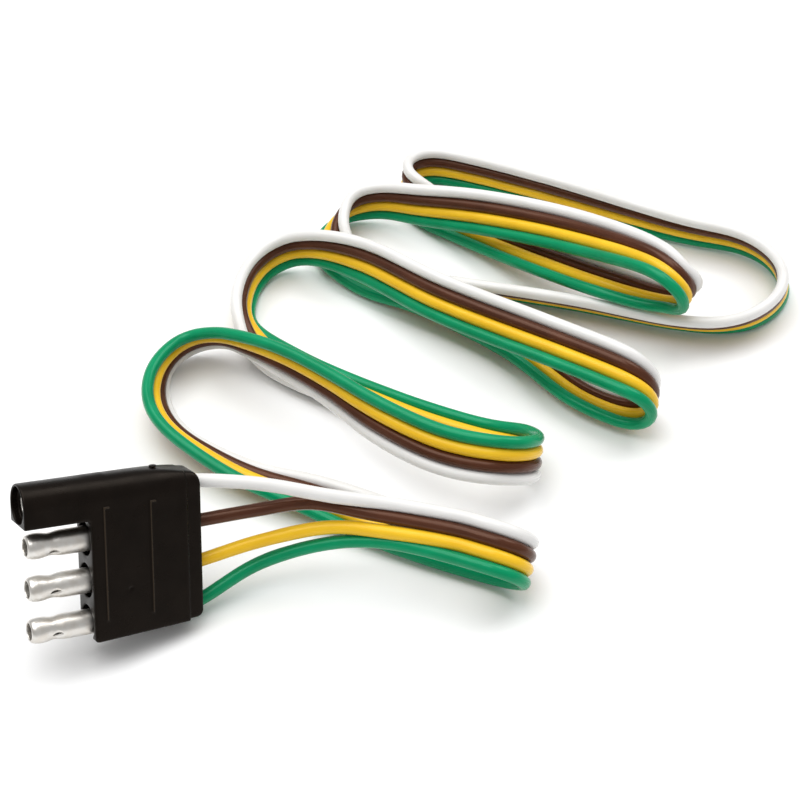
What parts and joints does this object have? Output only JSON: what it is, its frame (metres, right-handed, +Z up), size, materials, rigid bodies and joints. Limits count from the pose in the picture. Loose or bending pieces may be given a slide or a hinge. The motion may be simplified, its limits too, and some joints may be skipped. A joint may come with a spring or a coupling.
{
  "type": "trailer wiring connector",
  "caption": "Flat moulded trailer light connector with bare bullet pins beside one shrouded socket, on a long bonded ribbon of coloured wires laid in loose folds.",
  "frame": {"origin": "centre of the connector's base outline, on the surface it leans on", "axes": "+Z up; +X the horizontal way from the pins to the wires, along the connector's longest extent; +Y away from the viewer"},
  "size_m": [0.2074, 0.1448, 0.039],
  "materials": {
    "housing_pvc": "satin moulded",
    "carrier_plastic": "moulded",
    "tinned_brass": "tinned, brushed",
    "copper_strand": "bare stranded copper",
    "wire_white": "glossy extruded",
    "wire_brown": "glossy extruded",
    "wire_yellow": "glossy extruded",
    "wire_green": "glossy extruded"
  },
  "bodies": {
    "root": {"housing": "housing_pvc", "terminal_carrier": "carrier_plastic", "socket_white": "tinned_brass", "pin_brown": "tinned_brass", "pin_yellow": "tinned_brass", "pin_green": "tinned_brass", "conductor_white": "copper_strand", "wire_white": "wire_white", "bare_end_white": "copper_strand", "conductor_brown": "copper_strand", "wire_brown": "wire_brown", "bare_end_brown": "copper_strand", "conductor_yellow": "copper_strand", "wire_yellow": "wire_yellow", "bare_end_yellow": "copper_strand", "conductor_green": "copper_strand", "wire_green": "wire_green", "bare_end_green": "copper_strand"}
  },
  "joints": []
}
